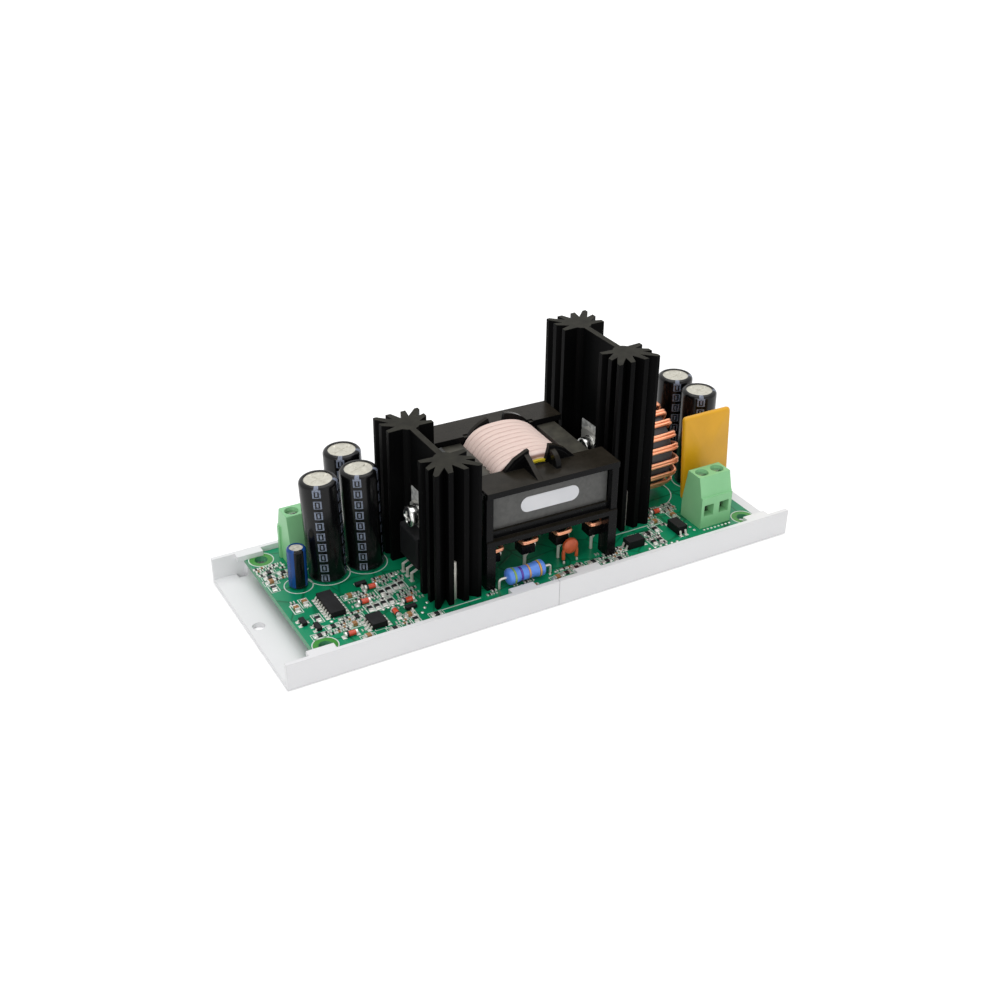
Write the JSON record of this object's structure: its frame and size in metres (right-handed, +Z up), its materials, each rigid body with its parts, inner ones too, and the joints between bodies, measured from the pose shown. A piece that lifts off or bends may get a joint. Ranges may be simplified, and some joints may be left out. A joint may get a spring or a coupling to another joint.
{
  "type": "isolated dc-dc converter module",
  "caption": "Open-frame isolated dc-dc converter: a populated circuit board with transformer, choke and finned heatsinks, snapped into a shallow white carrier tray.",
  "frame": {"origin": "centre of the carrier tray's underside", "axes": "+X along the board from the input end to the output end, +Y towards the back edge in the picture's view, +Z up from the tray"},
  "size_m": [0.15, 0.053, 0.057],
  "materials": {
    "white_moulding": "satin",
    "solder_mask_green": "gloss",
    "solder": "satin",
    "black_anodised_aluminium": "satin",
    "tinned_metal": "satin",
    "plated_steel": "polished",
    "insulating_pad": "matte",
    "black_epoxy": "matte",
    "ferrite": "matte",
    "black_moulding": "satin",
    "pink_litz": "matte",
    "white_label": "matte",
    "enamelled_copper": "gloss",
    "powder_core": "satin",
    "bare_aluminium": "satin",
    "black_sleeve": "gloss",
    "blue_sleeve": "gloss",
    "black_rubber": "matte",
    "green_moulding": "satin",
    "yellow_coating": "gloss",
    "blue_lacquer": "gloss",
    "orange_coating": "gloss",
    "red_glass": "gloss",
    "tan_ceramic": "satin",
    "dark_ceramic": "satin"
  },
  "bodies": {
    "root": {"tray_left_half": "white_moulding", "tray_right_half": "white_moulding", "solder_joints": "solder", "heatsink_solder_pins": "tinned_metal", "left_heatsink": "black_anodised_aluminium", "right_heatsink": "black_anodised_aluminium", "insulating_pads": "insulating_pad", "left_transistor_tab": "tinned_metal", "left_transistor_case": "black_epoxy", "left_transistor_leads": "tinned_metal", "right_transistor_tab": "tinned_metal", "right_transistor_case": "black_epoxy", "right_transistor_leads": "tinned_metal", "transistor_washers": "plated_steel", "transistor_screws": "plated_steel", "transistor_nuts": "plated_steel", "core_front_half": "ferrite", "core_back_half": "ferrite", "coil_former": "black_moulding", "litz_winding": "pink_litz", "core_label": "white_label", "transformer_pins": "tinned_metal", "winding_wire_ends": "enamelled_copper", "choke_core": "powder_core", "choke_winding": "enamelled_copper", "choke_leads": "enamelled_copper", "capacitor_leads": "tinned_metal", "capacitor_cans": "bare_aluminium", "capacitor_sleeves": "black_sleeve", "capacitor_bungs": "black_rubber", "small_capacitor_can": "bare_aluminium", "small_capacitor_sleeve": "blue_sleeve", "terminal_cages": "plated_steel", "terminal_screws": "plated_steel", "terminal_pins": "tinned_metal", "input_terminal_housing": "green_moulding", "output_terminal_housing": "green_moulding", "resettable_fuse": "yellow_coating", "resettable_fuse_leads": "tinned_metal", "power_resistor": "blue_lacquer", "power_resistor_leads": "tinned_metal", "disc_capacitor_leads": "tinned_metal", "disc_capacitor": "orange_coating", "controller_case": "black_epoxy", "controller_leads": "tinned_metal", "driver_case": "black_epoxy", "driver_leads": "tinned_metal", "optocoupler_case": "black_epoxy", "optocoupler_leads": "tinned_metal", "small_transistor_case": "black_epoxy", "small_transistor_leads": "tinned_metal", "diodes": "red_glass", "chip_resistors": "dark_ceramic", "chip_capacitors": "tan_ceramic", "circuit_board": "solder_mask_green"}
  },
  "joints": []
}
